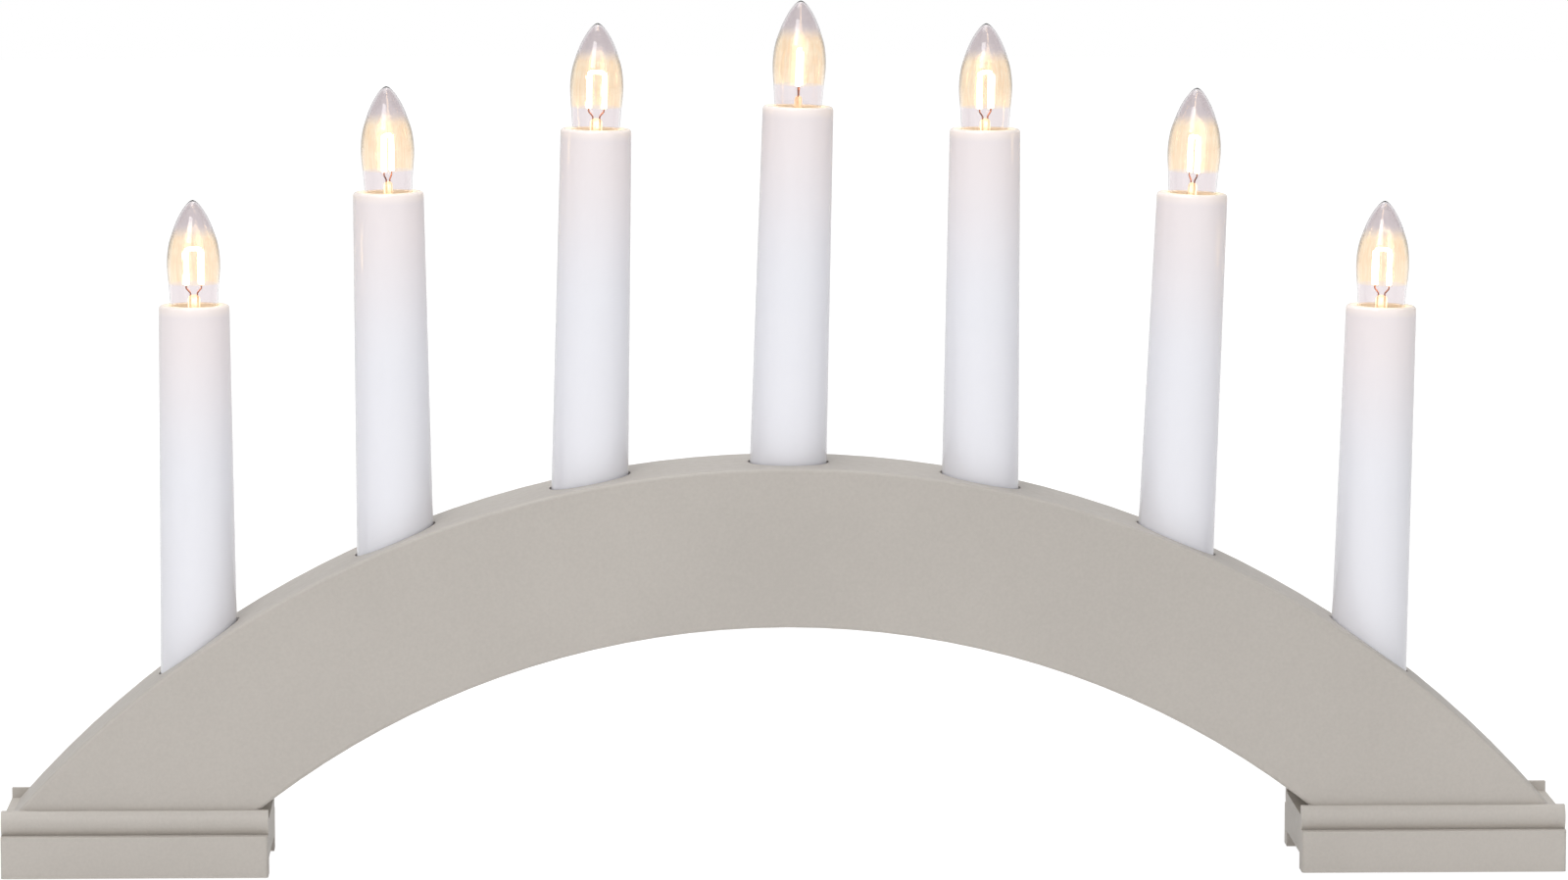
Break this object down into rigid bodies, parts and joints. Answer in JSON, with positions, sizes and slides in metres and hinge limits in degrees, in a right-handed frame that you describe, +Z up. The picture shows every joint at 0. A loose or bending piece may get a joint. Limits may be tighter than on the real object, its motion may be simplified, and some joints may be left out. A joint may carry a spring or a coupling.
{
  "type": "candle arch",
  "caption": "Electric candle arch: a painted wooden arch on two moulded feet, carrying upright candle sleeves with screw-in candle bulbs, stepped along its crown.",
  "frame": {"origin": "on the table, midway between the two feet and midway through their depth", "axes": "+X along the arch to the right as seen from the front, +Y to the back, +Z up"},
  "size_m": [0.39, 0.0426, 0.2165],
  "materials": {
    "painted_wood": "satin paint",
    "sleeve_plastic": "smooth satin gloss",
    "clear_glass": "clear, polished",
    "cap_metal": "nickel plated",
    "dark_insulator": "glossy",
    "copper_lead": "bright copper",
    "light_rod": "lit warm white",
    "holder_plastic": "moulded, matte",
    "plated_brass": "plain",
    "spring_steel": "drawn wire",
    "zinc_steel": "zinc plated",
    "grommet_rubber": "matte",
    "wire_insulation": "smooth"
  },
  "bodies": {
    "root": {"arch": "painted_wood", "foot_left": "painted_wood", "foot_right": "painted_wood", "channel_cover": "painted_wood", "cover_screws": "zinc_steel", "foot_screws": "zinc_steel", "cable_grommet": "grommet_rubber", "internal_wires": "wire_insulation", "lamp_holders": "holder_plastic", "socket_shells": "plated_brass", "contact_springs": "spring_steel", "candle_sleeve_1": "sleeve_plastic", "candle_sleeve_2": "sleeve_plastic", "candle_sleeve_3": "sleeve_plastic", "candle_sleeve_4": "sleeve_plastic", "candle_sleeve_5": "sleeve_plastic", "candle_sleeve_6": "sleeve_plastic", "candle_sleeve_7": "sleeve_plastic"},
    "contact_1": {"contact_1": "plated_brass"},
    "bulb_1": {"bulb_globe_1": "clear_glass", "bulb_cap_1": "cap_metal", "bulb_insulator_1": "dark_insulator", "bulb_leads_1": "copper_lead", "bulb_filament_1": "light_rod"},
    "contact_2": {"contact_2": "plated_brass"},
    "bulb_2": {"bulb_globe_2": "clear_glass", "bulb_cap_2": "cap_metal", "bulb_insulator_2": "dark_insulator", "bulb_leads_2": "copper_lead", "bulb_filament_2": "light_rod"},
    "contact_3": {"contact_3": "plated_brass"},
    "bulb_3": {"bulb_globe_3": "clear_glass", "bulb_cap_3": "cap_metal", "bulb_insulator_3": "dark_insulator", "bulb_leads_3": "copper_lead", "bulb_filament_3": "light_rod"},
    "contact_4": {"contact_4": "plated_brass"},
    "bulb_4": {"bulb_globe_4": "clear_glass", "bulb_cap_4": "cap_metal", "bulb_insulator_4": "dark_insulator", "bulb_leads_4": "copper_lead", "bulb_filament_4": "light_rod"},
    "contact_5": {"contact_5": "plated_brass"},
    "bulb_5": {"bulb_globe_5": "clear_glass", "bulb_cap_5": "cap_metal", "bulb_insulator_5": "dark_insulator", "bulb_leads_5": "copper_lead", "bulb_filament_5": "light_rod"},
    "contact_6": {"contact_6": "plated_brass"},
    "bulb_6": {"bulb_globe_6": "clear_glass", "bulb_cap_6": "cap_metal", "bulb_insulator_6": "dark_insulator", "bulb_leads_6": "copper_lead", "bulb_filament_6": "light_rod"},
    "contact_7": {"contact_7": "plated_brass"},
    "bulb_7": {"bulb_globe_7": "clear_glass", "bulb_cap_7": "cap_metal", "bulb_insulator_7": "dark_insulator", "bulb_leads_7": "copper_lead", "bulb_filament_7": "light_rod"}
  },
  "joints": [
    {"name": "bulb_1_turn", "type": "hinge", "parent": "contact_1", "child": "bulb_1", "pos_m": [-0.1469, 0, 0.13392], "axis": [-0.0052, 0, 1], "range_deg": [0, 360]},
    {"name": "bulb_1_rise", "type": "slide", "parent": "root", "child": "contact_1", "axis": [-0.0052, 0, 1], "range_m": [0, 0.00182]},
    {"name": "bulb_2_turn", "type": "hinge", "parent": "contact_2", "child": "bulb_2", "pos_m": [-0.09843, 0, 0.16213], "axis": [-0.014, 0, 0.9999], "range_deg": [0, 360]},
    {"name": "bulb_2_rise", "type": "slide", "parent": "root", "child": "contact_2", "axis": [-0.014, 0, 0.9999], "range_m": [0, 0.00182]},
    {"name": "bulb_3_turn", "type": "hinge", "parent": "contact_3", "child": "bulb_3", "pos_m": [-0.04701, 0, 0.17776], "axis": [0.0192, 0, 0.9998], "range_deg": [0, 360]},
    {"name": "bulb_3_rise", "type": "slide", "parent": "root", "child": "contact_3", "axis": [0.0192, 0, 0.9998], "range_m": [0, 0.00182]},
    {"name": "bulb_4_turn", "type": "hinge", "parent": "contact_4", "child": "bulb_4", "pos_m": [0.00318, 0, 0.18335], "axis": [0.0262, 0, 0.9997], "range_deg": [0, 360]},
    {"name": "bulb_4_rise", "type": "slide", "parent": "root", "child": "contact_4", "axis": [0.0262, 0, 0.9997], "range_m": [0, 0.00182]},
    {"name": "bulb_5_turn", "type": "hinge", "parent": "contact_5", "child": "bulb_5", "pos_m": [0.04986, 0, 0.17765], "axis": [0.0087, 0, 1], "range_deg": [0, 360]},
    {"name": "bulb_5_rise", "type": "slide", "parent": "root", "child": "contact_5", "axis": [0.0087, 0, 1], "range_m": [0, 0.00182]},
    {"name": "bulb_6_turn", "type": "hinge", "parent": "contact_6", "child": "bulb_6", "pos_m": [0.10153, 0, 0.16157], "axis": [0.0384, 0, 0.9993], "range_deg": [0, 360]},
    {"name": "bulb_6_rise", "type": "slide", "parent": "root", "child": "contact_6", "axis": [0.0384, 0, 0.9993], "range_m": [0, 0.00182]},
    {"name": "bulb_7_turn", "type": "hinge", "parent": "contact_7", "child": "bulb_7", "pos_m": [0.14929, 0, 0.13324], "axis": [0.0244, 0, 0.9997], "range_deg": [0, 360]},
    {"name": "bulb_7_rise", "type": "slide", "parent": "root", "child": "contact_7", "axis": [0.0244, 0, 0.9997], "range_m": [0, 0.00182]}
  ],
  "couplings": [
    {"joint": "bulb_1_rise", "follows": "bulb_1_turn", "m_per_rad": 0.00028807},
    {"joint": "bulb_2_rise", "follows": "bulb_2_turn", "m_per_rad": 0.00028807},
    {"joint": "bulb_3_rise", "follows": "bulb_3_turn", "m_per_rad": 0.00028807},
    {"joint": "bulb_4_rise", "follows": "bulb_4_turn", "m_per_rad": 0.00028807},
    {"joint": "bulb_5_rise", "follows": "bulb_5_turn", "m_per_rad": 0.00028807},
    {"joint": "bulb_6_rise", "follows": "bulb_6_turn", "m_per_rad": 0.00028807},
    {"joint": "bulb_7_rise", "follows": "bulb_7_turn", "m_per_rad": 0.00028807}
  ]
}
